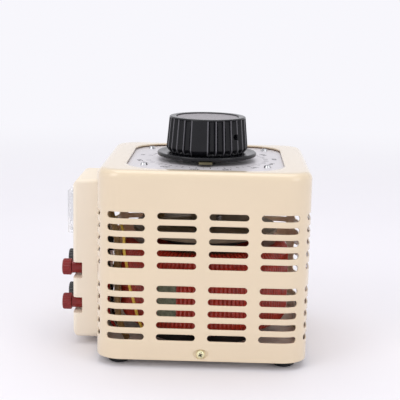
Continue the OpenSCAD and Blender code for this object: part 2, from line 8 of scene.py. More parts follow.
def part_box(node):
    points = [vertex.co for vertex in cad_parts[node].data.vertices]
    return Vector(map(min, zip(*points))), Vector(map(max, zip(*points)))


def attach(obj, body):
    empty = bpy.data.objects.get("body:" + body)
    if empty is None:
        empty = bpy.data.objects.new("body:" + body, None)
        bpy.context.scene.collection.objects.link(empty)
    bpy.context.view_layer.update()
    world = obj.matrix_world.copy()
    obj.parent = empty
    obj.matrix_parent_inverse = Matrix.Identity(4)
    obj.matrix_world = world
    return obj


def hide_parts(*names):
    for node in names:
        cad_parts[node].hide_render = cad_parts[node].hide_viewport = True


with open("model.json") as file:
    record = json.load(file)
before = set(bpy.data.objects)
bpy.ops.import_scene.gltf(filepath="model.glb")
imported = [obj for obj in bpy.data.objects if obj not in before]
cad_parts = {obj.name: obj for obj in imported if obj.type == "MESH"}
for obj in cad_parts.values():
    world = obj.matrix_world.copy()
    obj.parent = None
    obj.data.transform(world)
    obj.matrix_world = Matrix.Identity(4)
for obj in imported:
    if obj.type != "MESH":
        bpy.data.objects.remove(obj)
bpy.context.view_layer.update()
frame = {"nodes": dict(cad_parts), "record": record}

MM = 0.001
TAU = 2 * math.pi

# ---- camera: a long lens a little above the case, facing its slotted +X side ----

CAMERA_PLACE = (0.680, 0.0135, 0.2232)
CAMERA_YAW = math.radians(-1.46)
CAMERA_PITCH = math.radians(10.86)
CAMERA_ROLL = math.radians(1.14)
CAMERA_LENS = 95.2
SENSOR_WIDTH = 36


def make_camera():
    """The photo's view: yaw turns the camera from the -X direction, pitch tips it down."""
    data = bpy.data.cameras.new("camera")
    data.lens = CAMERA_LENS
    data.sensor_width = SENSOR_WIDTH
    camera = bpy.data.objects.new("camera", data)
    bpy.context.scene.collection.objects.link(camera)
    level = math.cos(CAMERA_PITCH)
    ahead = Vector((-math.cos(CAMERA_YAW) * level, math.sin(CAMERA_YAW) * level,
                    -math.sin(CAMERA_PITCH)))
    right = Vector((math.sin(CAMERA_YAW), math.cos(CAMERA_YAW), 0))
    up = right.cross(ahead)
    rolled_right = right * math.cos(CAMERA_ROLL) + up * math.sin(CAMERA_ROLL)
    rolled_up = up * math.cos(CAMERA_ROLL) - right * math.sin(CAMERA_ROLL)
    turn = Matrix((rolled_right, rolled_up, -ahead)).transposed().to_4x4()
    camera.matrix_world = Matrix.Translation(CAMERA_PLACE) @ turn
    bpy.context.scene.camera = camera


# ---- materials ----


def socket_value(shader, name, value):
    shader.inputs[name].default_value = value


def finish_material(
    name,
    colour,
    rough,
    metal=0.0,
    coat=0.0,
    mottle=0.06,
    mottle_scale=60,
    grain=0.00003,
    grain_scale=900,
    rough_spread=0.12,
    stretch=(1, 1, 1),
    dirt=None,
    dirt_amount=0.0,
    specular=0.5,
):
    """A surface with cloudy colour, uneven gloss and fine grain, all from noise.

    rough_spread is how far the gloss varies, stretch scales the noise per axis, and dirt is
    the colour of patches, mixed in by dirt_amount at most.
    """
    mat = bpy.data.materials.new(name)
    mat.use_nodes = True
    tree = mat.node_tree
    shader = tree.nodes["Principled BSDF"]
    socket_value(shader, "Metallic", metal)
    socket_value(shader, "Coat Weight", coat)
    socket_value(shader, "Coat Roughness", 0.08)
    socket_value(shader, "Specular IOR Level", specular)
    place = tree.nodes.new("ShaderNodeTexCoord")
    scale = tree.nodes.new("ShaderNodeMapping")
    scale.inputs["Scale"].default_value = stretch
    tree.links.new(place.outputs["Object"], scale.inputs["Vector"])

    cloud = tree.nodes.new("ShaderNodeTexNoise")
    cloud.inputs["Scale"].default_value = mottle_scale
    cloud.inputs["Detail"].default_value = 4
    tree.links.new(scale.outputs["Vector"], cloud.inputs["Vector"])
    tint = tree.nodes.new("ShaderNodeValToRGB")
    tint.color_ramp.elements[0].position = 0.3
    tint.color_ramp.elements[1].position = 0.7
    tint.color_ramp.elements[0].color = [c * (1 - mottle) for c in colour] + [1]
    tint.color_ramp.elements[1].color = [min(1, c * (1 + mottle)) for c in colour] + [1]
    tree.links.new(cloud.outputs["Fac"], tint.inputs["Fac"])
    colour_out = tint.outputs["Color"]
    if dirt:
        patch = tree.nodes.new("ShaderNodeTexNoise")
        patch.inputs["Scale"].default_value = mottle_scale * 0.35
        patch.inputs["Detail"].default_value = 6
        tree.links.new(scale.outputs["Vector"], patch.inputs["Vector"])
        reach = tree.nodes.new("ShaderNodeMapRange")
        reach.inputs["From Min"].default_value = 0.55
        reach.inputs["From Max"].default_value = 0.8
        reach.inputs["To Max"].default_value = dirt_amount
        tree.links.new(patch.outputs["Fac"], reach.inputs["Value"])
        blend = tree.nodes.new("ShaderNodeMix")
        blend.data_type = "RGBA"
        blend.inputs["B"].default_value = list(dirt) + [1]
        tree.links.new(reach.outputs["Result"], blend.inputs["Factor"])
        tree.links.new(colour_out, blend.inputs["A"])
        colour_out = blend.outputs["Result"]
    tree.links.new(colour_out, shader.inputs["Base Color"])

    fine = tree.nodes.new("ShaderNodeTexNoise")
    fine.inputs["Scale"].default_value = grain_scale
    fine.inputs["Detail"].default_value = 3
    tree.links.new(scale.outputs["Vector"], fine.inputs["Vector"])
    gloss = tree.nodes.new("ShaderNodeMapRange")
    gloss.inputs["To Min"].default_value = max(0.02, rough - rough_spread)
    gloss.inputs["To Max"].default_value = min(1, rough + rough_spread)
    tree.links.new(fine.outputs["Fac"], gloss.inputs["Value"])
    tree.links.new(gloss.outputs["Result"], shader.inputs["Roughness"])
    bump = tree.nodes.new("ShaderNodeBump")
    bump.inputs["Distance"].default_value = grain
    bump.inputs["Strength"].default_value = 1
    tree.links.new(fine.outputs["Fac"], bump.inputs["Height"])
    tree.links.new(bump.outputs["Normal"], shader.inputs["Normal"])
    return mat


def clear_material(name, colour, rough=0.04):
    """Clear moulding with faint scuffs, thin enough to let light straight through."""
    mat = finish_material(name, colour, rough, mottle=0.02, rough_spread=0.03, grain=0.000004)
    shader = mat.node_tree.nodes["Principled BSDF"]
    socket_value(shader, "Transmission Weight", 0.92)
    socket_value(shader, "IOR", 1.25)
    socket_value(shader, "Alpha", 0.32)
    return mat


def winding_material():
    """Red enamel on copper wire, rubbed to bare copper along the track on top."""
    mat = finish_material("enamelled_wire", (0.5, 0.04, 0.018), 0.3, coat=0.5, mottle=0.2,
                          mottle_scale=140, grain=0.000006, rough_spread=0.06)
    tree = mat.node_tree
    shader = tree.nodes["Principled BSDF"]
    place = tree.nodes.new("ShaderNodeTexCoord")
    split = tree.nodes.new("ShaderNodeSeparateXYZ")
    tree.links.new(place.outputs["Object"], split.inputs["Vector"])
    flat = tree.nodes.new("ShaderNodeCombineXYZ")
    tree.links.new(split.outputs["X"], flat.inputs["X"])
    tree.links.new(split.outputs["Y"], flat.inputs["Y"])
    radius = tree.nodes.new("ShaderNodeVectorMath")
    radius.operation = "LENGTH"
    tree.links.new(flat.outputs["Vector"], radius.inputs[0])
    off_track = tree.nodes.new("ShaderNodeMath")
    off_track.operation = "SUBTRACT"
    off_track.inputs[1].default_value = TRACK_RADIUS
    tree.links.new(radius.outputs["Value"], off_track.inputs[0])
    distance = tree.nodes.new("ShaderNodeMath")
    distance.operation = "ABSOLUTE"
    tree.links.new(off_track.outputs["Value"], distance.inputs[0])
    near = tree.nodes.new("ShaderNodeMapRange")
    near.inputs["From Min"].default_value = TRACK_HALF + TRACK_EDGE
    near.inputs["From Max"].default_value = TRACK_HALF
    tree.links.new(distance.outputs["Value"], near.inputs["Value"])
    high = tree.nodes.new("ShaderNodeMapRange")
    high.inputs["From Min"].default_value = COIL_HIGH.z - 0.0022
    high.inputs["From Max"].default_value = COIL_HIGH.z - 0.0012
    tree.links.new(split.outputs["Z"], high.inputs["Value"])
    bare = tree.nodes.new("ShaderNodeMath")
    bare.operation = "MULTIPLY"
    tree.links.new(near.outputs["Result"], bare.inputs[0])
    tree.links.new(high.outputs["Result"], bare.inputs[1])
    old = shader.inputs["Base Color"].links[0].from_socket
    blend = tree.nodes.new("ShaderNodeMix")
    blend.data_type = "RGBA"
    blend.inputs["B"].default_value = (0.72, 0.36, 0.2, 1)
    tree.links.new(bare.outputs["Value"], blend.inputs["Factor"])
    tree.links.new(old, blend.inputs["A"])
    tree.links.new(blend.outputs["Result"], shader.inputs["Base Color"])
    tree.links.new(bare.outputs["Value"], shader.inputs["Metallic"])
    return mat


def knob_material():
    """Black phenolic, with a painted highlight: the ridges between the flutes are coloured paler to
    stand in for light glinting on them.
    """
    mat = finish_material("knob_black", **MATERIALS["knob_black"])
    tree = mat.node_tree
    shader = tree.nodes["Principled BSDF"]
    place = tree.nodes.new("ShaderNodeTexCoord")
    split = tree.nodes.new("ShaderNodeSeparateXYZ")
    tree.links.new(place.outputs["Object"], split.inputs["Vector"])

    def compute(operation, first, second=None, third=None):
        node = tree.nodes.new("ShaderNodeMath")
        node.operation = operation
        for socket, value in zip(node.inputs, (first, second, third)):
            if value is None:
                continue
            if isinstance(value, (int, float)):
                socket.default_value = value
            else:
                tree.links.new(value, socket)
        return node.outputs["Value"]

    angle = compute("ARCTAN2", split.outputs["Y"], split.outputs["X"])
    steps = compute("MULTIPLY_ADD", angle, FLUTES / TAU, -FLAT_DIR * FLUTES / TAU)
    off_ridge = compute("PINGPONG", steps, 0.5)
    ridge = compute("SUBTRACT", 1, compute("DIVIDE", off_ridge, RIDGE_HIGHLIGHT_HALF_STEPS))
    off_flat = compute("GREATER_THAN", compute("ABSOLUTE", steps), 0.5)
    above_skirt = compute("GREATER_THAN", split.outputs["Z"], SKIRT_HIGH.z * MM)
    below_rim = compute("LESS_THAN", split.outputs["Z"], (KNOB_TOP - KNOB_EDGE) * MM)
    # Painted highlight mask: strongest on each ridge, none over the smooth grip, the rim or the skirt.
    ridge_highlight = compute("MULTIPLY", compute("MAXIMUM", ridge, 0), off_flat)
    ridge_highlight = compute("MULTIPLY", ridge_highlight, compute("MULTIPLY", above_skirt, below_rim))
    old = shader.inputs["Base Color"].links[0].from_socket
    blend = tree.nodes.new("ShaderNodeMix")
    blend.data_type = "RGBA"
    # Painted highlight: the paler colour laid on the ridges in place of real glints.
    blend.inputs["B"].default_value = (0.16, 0.155, 0.17, 1)
    tree.links.new(ridge_highlight, blend.inputs["Factor"])
    tree.links.new(old, blend.inputs["A"])
    tree.links.new(blend.outputs["Result"], shader.inputs["Base Color"])
    return mat


# Sizes from the frame, in millimetres, that both the materials and the shapes use.
SKIRT_LOW, SKIRT_HIGH = [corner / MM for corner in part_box("knob_skirt")]
KNOB_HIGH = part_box("knob")[1] / MM
KNOB_TOP = KNOB_HIGH.z
KNOB_EDGE = 0.9
FLUTES = 30
FLAT_DIR = math.radians(-10)
# How far from each ridge, in flute steps, the painted highlight reaches.
RIDGE_HIGHLIGHT_HALF_STEPS = 0.11

# The coil, and the track that the brush has rubbed on its top, in metres.
COIL_LOW, COIL_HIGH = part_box("winding")
TRACK_RADIUS = 0.041
TRACK_HALF = 0.0052
TRACK_EDGE = 0.0008

MATERIALS = {
    "cream_steel": dict(colour=(0.775, 0.635, 0.45), rough=0.38, coat=1.0, mottle=0.015,
                        mottle_scale=25, grain=0.00002, grain_scale=1400, rough_spread=0.06),
    "cream_plastic": dict(colour=(0.88, 0.78, 0.64), rough=0.42, mottle=0.015, mottle_scale=30,
                          grain=0.000025, grain_scale=1800, rough_spread=0.06),
    "zinc_sheet": dict(colour=(0.8, 0.75, 0.66), rough=0.5, metal=0.1, mottle=0.12, mottle_scale=90,
                       dirt=(0.25, 0.24, 0.22), dirt_amount=0.5),
    "foot_rubber": dict(colour=(0.02, 0.02, 0.021), rough=0.75, mottle=0.2, grain=0.00006,
                        specular=0.3),
    "bright_steel": dict(colour=(0.62, 0.62, 0.64), rough=0.25, metal=1, mottle=0.08, mottle_scale=300,
                         stretch=(1, 1, 6)),
    "yellow_zinc": dict(colour=(0.82, 0.77, 0.5), rough=0.3, metal=0.8, mottle=0.18, mottle_scale=400,
                        dirt=(0.5, 0.3, 0.35), dirt_amount=0.35),
    "dial_aluminium": dict(colour=(0.74, 0.71, 0.74), rough=0.38, metal=0.35, mottle=0.02,
                           mottle_scale=40, stretch=(1, 40, 1), grain=0.000008, grain_scale=300),
    "black_phenolic": dict(colour=(0.02, 0.017, 0.016), rough=0.4, mottle=0.3, mottle_scale=200),
    "core_steel": dict(colour=(0.2, 0.2, 0.21), rough=0.45, metal=0.8, mottle=0.2, stretch=(1, 1, 12)),
    "insulation_cloth": dict(colour=(0.2, 0.22, 0.15), rough=0.8, mottle=0.3, mottle_scale=500,
                             grain=0.0002, grain_scale=1200),
    "brass": dict(colour=(0.5, 0.37, 0.19), rough=0.36, metal=1, mottle=0.1, mottle_scale=150,
                  dirt=(0.35, 0.2, 0.08), dirt_amount=0.4),
    "dull_brass": dict(colour=(0.16, 0.14, 0.08), rough=0.45, metal=0.6, mottle=0.15, mottle_scale=200),
    "bronze_leaf": dict(colour=(0.66, 0.4, 0.2), rough=0.3, metal=1, mottle=0.1),
    "spring_steel": dict(colour=(0.5, 0.5, 0.52), rough=0.25, metal=1, mottle=0.05),
    "knob_black": dict(colour=(0.007, 0.007, 0.009), rough=0.2, specular=0.28, mottle=0.2,
                       mottle_scale=80, grain=0.000012, grain_scale=700, rough_spread=0.07),
    "knob_disc_grey": dict(colour=(0.31, 0.285, 0.305), rough=0.35, metal=0.6, mottle=0.05,
                           grain=0.00001),
    "arm_aluminium": dict(colour=(0.27, 0.22, 0.155), rough=0.5, metal=0.4, mottle=0.2, grain=0.00008),
    "carbon": dict(colour=(0.03, 0.03, 0.032), rough=0.6, mottle=0.25, mottle_scale=800, grain=0.00004),
    "yellow_sleeve": dict(colour=(0.83, 0.55, 0.08), rough=0.4, mottle=0.06),
    "red_sleeve": dict(colour=(0.55, 0.03, 0.02), rough=0.4, mottle=0.08),
    "black_sleeve": dict(colour=(0.02, 0.02, 0.02), rough=0.45, mottle=0.1),
    "brown_sleeve": dict(colour=(0.24, 0.14, 0.045), rough=0.5, mottle=0.3, mottle_scale=250),
    "green_sleeve": dict(colour=(0.09, 0.22, 0.08), rough=0.4, mottle=0.08),
    "meter_black": dict(colour=(0.02, 0.02, 0.022), rough=0.4, mottle=0.15),
    "meter_card": dict(colour=(0.82, 0.82, 0.8), rough=0.6, mottle=0.01),
    "pivot_steel": dict(colour=(0.5, 0.5, 0.52), rough=0.2, metal=1, mottle=0.05),
    "red_terminal": dict(colour=(0.23, 0.018, 0.018), rough=0.32, specular=0.35, mottle=0.12,
                         mottle_scale=200, grain=0.00002),
    "black_terminal": dict(colour=(0.02, 0.02, 0.022), rough=0.28, coat=0.3, mottle=0.15,
                           mottle_scale=200, grain=0.00002),
    "screw_shadow": dict(colour=(0.06, 0.052, 0.03), rough=0.6, mottle=0.1, grain=0.00001),
    "ink": dict(colour=(0.045, 0.045, 0.05), rough=0.5, mottle=0.1, grain=0.00001),
}


def make_materials():
    made = {slot: finish_material(slot, **look) for slot, look in MATERIALS.items()}
    made["clear_window"] = clear_material("clear_window", (0.93, 0.95, 0.96))
    made["fuse_glass"] = clear_material("fuse_glass", (0.9, 0.93, 0.93))
    made["enamelled_wire"] = winding_material()
    made["knob_black"] = knob_material()
    return made


materials = make_materials()
slot_of = {part["node"]: part["material_slot"] for part in frame["record"]["subparts"]}


def paint_cad_nodes():
    for name, node in frame["nodes"].items():
        node.data.materials.clear()
        node.data.materials.append(materials[slot_of[name]])


# ---- building pieces ----


def add_piece(name, points, faces, body, slot, replaced=(), smooth_angle=35):
    """A mesh piece from points in millimetres, riding on a body."""
    mesh = bpy.data.meshes.new(name)
    mesh.from_pydata([Vector(p) * MM for p in points], [], faces)
    mesh.update()
    return adopt(name, mesh, body, slot, replaced, smooth_angle)


def adopt(name, mesh, body, slot, replaced=(), smooth_angle=35):
    """Makes a piece of a mesh: shading, material, body, slot and the CAD nodes it replaces."""
    mesh.shade_smooth()
    mesh.set_sharp_from_angle(angle=math.radians(smooth_angle))
    mesh.materials.clear()
    mesh.materials.append(materials[slot])
    piece = bpy.data.objects.new(name, mesh)
    bpy.context.scene.collection.objects.link(piece)
    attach(piece, body)
    if replaced:
        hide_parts(*replaced)
    return piece


def grid_faces(rows, columns, close_rows=False, close_columns=True):
    """Quads over a grid of points stored row by row."""
    faces = []
    for i in range(rows if close_rows else rows - 1):
        for j in range(columns if close_columns else columns - 1):
            a = i * columns + j
            b = i * columns + (j + 1) % columns
            c = ((i + 1) % rows) * columns + (j + 1) % columns
            d = ((i + 1) % rows) * columns + j
            faces.append((a, b, c, d))
    return faces


def lathe(name, profile, sides, body, slot, replaced=(), shift=None, smooth_angle=30):
    """A profile of (radius, z) turned round the Z axis. shift(angle, r, z) gives a new radius."""
    points = []
    for r, z in profile:
        for k in range(sides):
            angle = TAU * k / sides
            reach = shift(angle, r, z) if shift else r
            points.append((reach * math.cos(angle), reach * math.sin(angle), z))
    faces = grid_faces(len(profile), sides, close_rows=profile[0] == profile[-1])
    return add_piece(name, points, faces, body, slot, replaced, smooth_angle)


def shade_cad_edges(name, width, segments=2):
    """Small rounded edges on a CAD node, as a modifier, so that its own mesh stays as it is."""
    node = frame["nodes"][name]
    weld = node.modifiers.new("weld", "WELD")
    weld.merge_threshold = 0.000002
    bevel = node.modifiers.new("edges", "BEVEL")
    bevel.width = width * MM
    bevel.segments = segments
    bevel.limit_method = "ANGLE"
    bevel.angle_limit = math.radians(50)
    bevel.harden_normals = False
    bevel.use_clamp_overlap = True


# ---- cover: a sheet-steel shell laid out as an unrolled wall, then folded round the case ----

COVER_LOW, COVER_HIGH = [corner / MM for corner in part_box("cover")]
CASE_HALF = COVER_HIGH.x
CASE_BOTTOM = COVER_LOW.z
CASE_TOP = COVER_HIGH.z
CASE_CORNER = 16
SHEET = 0.8
TOP_FOLD = 4.6
TOP_FOLD_STEPS = 6
DIAL_HOLE = (56, 49, 24)
EDGE_ROUND = 0.22
NEARLY = 1e-6

SLOT_GAP = 7.3
SLOT_LEN = 23.8
SLOT_LEN_OUTER = 23.5
SLOT_HALF_H = 2
ROW_STEP = 7.6
FIRST_ROW_Z = 19.6
UPPER_ROW_Z = 64.4
BLOCK_ROWS = 5
LOW_HEIGHTS = (5.8, 7.5, 9.4, 11.3, 13)
HIGH_HEIGHTS = (104, 110, 115)

# The wall behind the terminal box, and the hole in it.
FRONT_SIDE = 3
BOX_WINDOW_HALF = 16
BOX_WINDOW_LOW = 12
BOX_WINDOW_HIGH = 100

# The oval dimple round a cover screw: half width, half height and depth of each ring.
SCREW_Z = 9.4
DIMPLE_REACH = 9
DIMPLE_HEIGHTS = (5.5, 13.5)
DIMPLE_RINGS = ((5.0, 3.15, 0), (4.75, 2.95, 0.15), (4.2, 2.6, 0.85), (3.2, 2.4, 0.9))

FLAT_HALF = CASE_HALF - CASE_CORNER
SIDE_HALF = FLAT_HALF + CASE_CORNER * math.pi / 4
MID_CENTRE = (SLOT_GAP + SLOT_LEN) / 2
MID_EDGE = SLOT_GAP + SLOT_LEN
OUTER_CENTRE = 1.5 * SLOT_GAP + SLOT_LEN + SLOT_LEN_OUTER / 2
ARC_STEPS = (2.6, 0.9)


def wall_point(side, s, z, inset):
    """The place on one side of the wall at distance s along it, moved in by inset."""
    if abs(s) <= FLAT_HALF:
        x, y = CASE_HALF - inset, s
    else:
        angle = (abs(s) - FLAT_HALF) / CASE_CORNER
        x = FLAT_HALF + (CASE_CORNER - inset) * math.cos(angle)
        y = math.copysign(FLAT_HALF + (CASE_CORNER - inset) * math.sin(angle), s)
    for _ in range(side):
        x, y = -y, x
    return x, y, z


def column_marks(centre, length, low, high):
    """Places along the wall where the grid is divided over one slot."""
    straight = length / 2 - SLOT_HALF_H
    marks = [low] + [centre - straight - step for step in ARC_STEPS]
    marks += [centre + straight * k / 4 for k in range(-4, 5)]
    return marks + [centre + straight + step for step in reversed(ARC_STEPS)]


def row_marks(z):
    """Heights where the grid is divided over one row of slots."""
    return [z - ROW_STEP / 2, z - 2.1, z - 1, z, z + 1, z + 2.1]


def slot_rim(centre, length, z, s, height):
    """The point on a slot's rim that belongs to a grid point on its cell's border."""
    straight = length / 2 - SLOT_HALF_H
    along = s - centre
    up = height - z
    if abs(along) <= straight + NEARLY:
        return s, z + math.copysign(SLOT_HALF_H, up)
    half = ROW_STEP / 2
    if abs(up) > half - NEARLY:
        beyond = abs(along) - straight
        angle = 75 if beyond < 1 else 60 if beyond < 2.7 else 45
    else:
        angle = 0 if abs(up) < 0.5 else 15 if abs(up) < 1.5 else 30
    turn = math.radians(angle)
    return (
        centre + math.copysign(straight + SLOT_HALF_H * math.cos(turn), along),
        z + math.copysign(SLOT_HALF_H * math.sin(turn), up) if angle else z,
    )


def border_of(columns, rows):
    """The grid points round a block of the grid, anticlockwise from its low corner."""
    border = [(i, rows[0]) for i in columns]
    border += [(columns[-1], j) for j in rows[1:]]
    border += [(i, rows[-1]) for i in reversed(columns[:-1])]
    border += [(columns[0], j) for j in reversed(rows[1:-1])]
    return border


def make_cover():
    """Walls with slots and dimples, the fold, and the top round the dial, as one thick sheet."""
    half_marks = column_marks(MID_CENTRE, SLOT_LEN, 0, MID_EDGE)
    half_marks += column_marks(OUTER_CENTRE, SLOT_LEN_OUTER, MID_EDGE, SIDE_HALF)
    half_marks.append(SIDE_HALF)
    side_marks = [-s for s in reversed(half_marks[1:])] + half_marks
    rows_low = [FIRST_ROW_Z + i * ROW_STEP for i in range(BLOCK_ROWS)]
    rows_high = [UPPER_ROW_Z + i * ROW_STEP for i in range(BLOCK_ROWS)]
    heights = [CASE_BOTTOM, *LOW_HEIGHTS]
    for z in rows_low:
        heights += row_marks(z)
    heights.append(rows_low[-1] + ROW_STEP / 2)
    heights.append((rows_low[-1] + rows_high[0]) / 2)
    for z in rows_high:
        heights += row_marks(z)
    heights += [rows_high[-1] + ROW_STEP / 2, *HIGH_HEIGHTS]
    fold_z = CASE_TOP - TOP_FOLD
    levels = [(z, 0) for z in heights]
    for k in range(TOP_FOLD_STEPS + 1):
        turn = math.pi / 2 * k / TOP_FOLD_STEPS
        levels.append((fold_z + TOP_FOLD * math.sin(turn), TOP_FOLD * (1 - math.cos(turn))))

    points = []
    index = {}

    def point(x, y, z):
        key = (round(x, 4), round(y, 4), round(z, 4))
        if key not in index:
            index[key] = len(points)
            points.append((x, y, z))
        return index[key]

    def node_at(side, i, level):
        z, inset = levels[level]
        return point(*wall_point(side, side_marks[i], z, inset))

    skipped = set()
    faces = []

    def level_rows(low_z, high_z):
        """The levels of the upright wall between two heights."""
        return [j for j, (h, inset) in enumerate(levels) if low_z < h < high_z and inset == 0]

    def skip_block(side, columns, rows):
        for i in columns[:-1]:
            for j in rows[:-1]:
                skipped.add((side, i, j))

    def cut_slot(side, centre, length, z):
        """Faces from a cell's border to the rim of the slot in it."""
        low_s = MID_EDGE if abs(centre) > MID_EDGE else 0
        high_s = SIDE_HALF if abs(centre) > MID_EDGE else MID_EDGE
        if centre < 0:
            low_s, high_s = -high_s, -low_s
        columns = [i for i, s in enumerate(side_marks) if low_s - NEARLY <= s <= high_s + NEARLY]
        rows = level_rows(z - ROW_STEP / 2 - NEARLY, z + ROW_STEP / 2 + NEARLY)
        border = border_of(columns, rows)
        skip_block(side, columns, rows)
        outer = [node_at(side, i, j) for i, j in border]
        inner = []
        for i, j in border:
            s, height = slot_rim(centre, length, z, side_marks[i], levels[j][0])
            inner.append(point(*wall_point(side, s, height, 0)))
        for k in range(len(border)):
            n = (k + 1) % len(border)
            loop = [outer[k], outer[n], inner[n], inner[k]]
            if inner[k] == inner[n]:
                loop.pop()
            faces.append(tuple(loop))

    def press_dimple(side):
        """The shallow oval that a cover screw sits in."""
        columns = [i for i, s in enumerate(side_marks) if abs(s) <= DIMPLE_REACH]
        rows = level_rows(*DIMPLE_HEIGHTS)
        border = border_of(columns, rows)
        skip_block(side, columns, rows)
        rings = [[node_at(side, i, j) for i, j in border]]
        for across, upright, inset in DIMPLE_RINGS:
            ring = []
            for i, j in border:
                turn = math.atan2((levels[j][0] - SCREW_Z) / 3.6, side_marks[i] / 8)
                s = across * math.cos(turn)
                height = SCREW_Z + upright * math.sin(turn)
                ring.append(point(*wall_point(side, s, height, inset)))
            rings.append(ring)
        for a, b in zip(rings, rings[1:]):
            for k in range(len(border)):
                n = (k + 1) % len(border)
                faces.append((a[k], a[n], b[n], b[k]))
        faces.append(tuple(rings[-1]))

    def behind_box(side, i, j):
        """Whether a cell of the grid is in the hole behind the terminal box."""
        middle = abs(side_marks[i] + side_marks[i + 1]) / 2
        height = (levels[j][0] + levels[j + 1][0]) / 2
        inside = middle < BOX_WINDOW_HALF and BOX_WINDOW_LOW < height < BOX_WINDOW_HIGH
        return side == FRONT_SIDE and inside

    for side in range(4):
        for centre, length in ((MID_CENTRE, SLOT_LEN), (OUTER_CENTRE, SLOT_LEN_OUTER)):
            if side == FRONT_SIDE and centre == MID_CENTRE:
                continue
            for sign in (-1, 1):
                for z in rows_low + rows_high:
                    cut_slot(side, sign * centre, length, z)
        if side != FRONT_SIDE:
            press_dimple(side)
        for i in range(len(side_marks) - 1):
            for j in range(len(levels) - 1):
                if (side, i, j) in skipped or behind_box(side, i, j):
                    continue
                faces.append((node_at(side, i, j), node_at(side, i + 1, j),
                              node_at(side, i + 1, j + 1), node_at(side, i, j + 1)))
    last = len(levels) - 1
    for side in range(4):
        previous = [node_at(side, i, last) for i in range(len(side_marks))]
        for share in (0.4, 0.8, 1):
            ring = []
            for i, s in enumerate(side_marks):
                x, y, z = wall_point(side, s, CASE_TOP, TOP_FOLD)
                hole_x, hole_y = outline_at(math.atan2(y, x), *DIAL_HOLE)
                ring.append(point(x + (hole_x - x) * share, y + (hole_y - y) * share, z))
            for k in range(len(ring) - 1):
                faces.append((previous[k], previous[k + 1], ring[k + 1], ring[k]))
            previous = ring
    cover = add_piece("cover_shell", points, faces, "chassis", "cream_steel", ["cover"])
    thick = cover.modifiers.new("thickness", "SOLIDIFY")
    thick.thickness = SHEET * MM
    thick.offset = -1
    thick.use_even_offset = True
    edge = cover.modifiers.new("edges", "BEVEL")
    edge.width = EDGE_ROUND * MM
    edge.segments = 2
    edge.limit_method = "ANGLE"
    edge.angle_limit = math.radians(50)


def outline_at(angle, half_x, half_y, corner):
    """The point at an angle from the centre on a rounded rectangle's outline."""
    dx, dy = math.cos(angle), math.sin(angle)
    reach = min(half_x / max(abs(dx), 1e-9), half_y / max(abs(dy), 1e-9))
    x, y = dx * reach, dy * reach
    centre_x, centre_y = half_x - corner, half_y - corner
    if abs(x) > centre_x and abs(y) > centre_y:
        cx, cy = math.copysign(centre_x, x), math.copysign(centre_y, y)
        along = dx * cx + dy * cy
        gap = cx * cx + cy * cy - corner * corner
        reach = along + math.sqrt(max(along * along - gap, 0))
        x, y = dx * reach, dy * reach
    return x, y


# ---- knob ----

KNOB_R = KNOB_HIGH.x
KNOB_TOP_R = 24.6
NECK_R = 24.2
BELLY_Z = 128.5
SHAFT_HOLE_R = 4.1
KNOB_SIDES = 1024
KNOB_LEVELS = 56
FLUTE_DEPTH = 2.1
FLUTE_WIDTH = 0.84
FLAT_HALF_STEPS = 1
SET_SCREW_DIR = math.radians(50)
SET_SCREW_Z = 136.5
SET_SCREW_R = 1.75
SET_SCREW_DEPTH = 4.5


def smooth_step(value, low, high):
    """0 up to low, 1 from high on, and a smooth rise between them."""
    t = min(1, max(0, (value - low) / (high - low)))
    return t * t * (3 - 2 * t)


def flute_shift(angle, r, z):
    """Rounded flutes that fade into the neck and the rim, except over the smooth grip."""
    if r < KNOB_TOP_R - 2:
        return r
    turn = (angle - FLAT_DIR + math.pi) % TAU - math.pi
    step = TAU / FLUTES
    place = turn / step
    across = abs(turn) / step
    phase = abs(place % 1 - 0.5) * 2
    hollow = max(0, 1 - (phase / FLUTE_WIDTH) ** 2) ** 0.6
    edge = 1 if across > FLAT_HALF_STEPS else 0
    fade = smooth_step(z, BELLY_Z - 3.3, BELLY_Z - 2.2)
    fade *= 1 - smooth_step(z, KNOB_TOP - 1.5, KNOB_TOP - 0.8)
    reach = max(r - FLUTE_DEPTH * hollow * edge * fade, NECK_R - 1.2)
    beside = ((angle - SET_SCREW_DIR + math.pi) % TAU - math.pi) * KNOB_R
    hole = math.hypot(beside, z - SET_SCREW_Z)
    if hole < SET_SCREW_R + 0.3:
        depth = 1 - smooth_step(hole, SET_SCREW_R - 0.15, SET_SCREW_R + 0.3)
        reach = min(reach, r - SET_SCREW_DEPTH * depth)
    return reach


def knob_body_profile():
    """From the neck over the belly, up the grip and the rounded rim, into the disc's recess."""
    bottom = SKIRT_HIGH.z
    profile = [(SHAFT_HOLE_R, bottom), (NECK_R - 0.4, bottom), (NECK_R, bottom + 0.15)]
    profile += [(NECK_R + 0.5, bottom + 0.6), (KNOB_R - 1.1, bottom + 1.2)]
    profile += [(KNOB_R - 0.6, bottom + 1.9), (KNOB_R - 0.15, BELLY_Z - 0.6), (KNOB_R, BELLY_Z)]
    rim_z = KNOB_TOP - KNOB_EDGE
    for k in range(1, KNOB_LEVELS):
        share = k / KNOB_LEVELS
        profile.append((KNOB_R + (KNOB_TOP_R - KNOB_R) * share,
                        BELLY_Z + (rim_z - BELLY_Z) * share))
    for k in range(5):
        turn = math.pi / 2 * k / 4
        profile.append((KNOB_TOP_R - KNOB_EDGE + KNOB_EDGE * math.cos(turn),
                        rim_z + KNOB_EDGE * math.sin(turn)))
    profile += [(21, KNOB_TOP), (20.5, KNOB_TOP - 0.12), (20.15, KNOB_TOP - 0.4)]
    profile += [(20.05, KNOB_TOP - 1.7), (0.01, KNOB_TOP - 1.7)]
    return profile


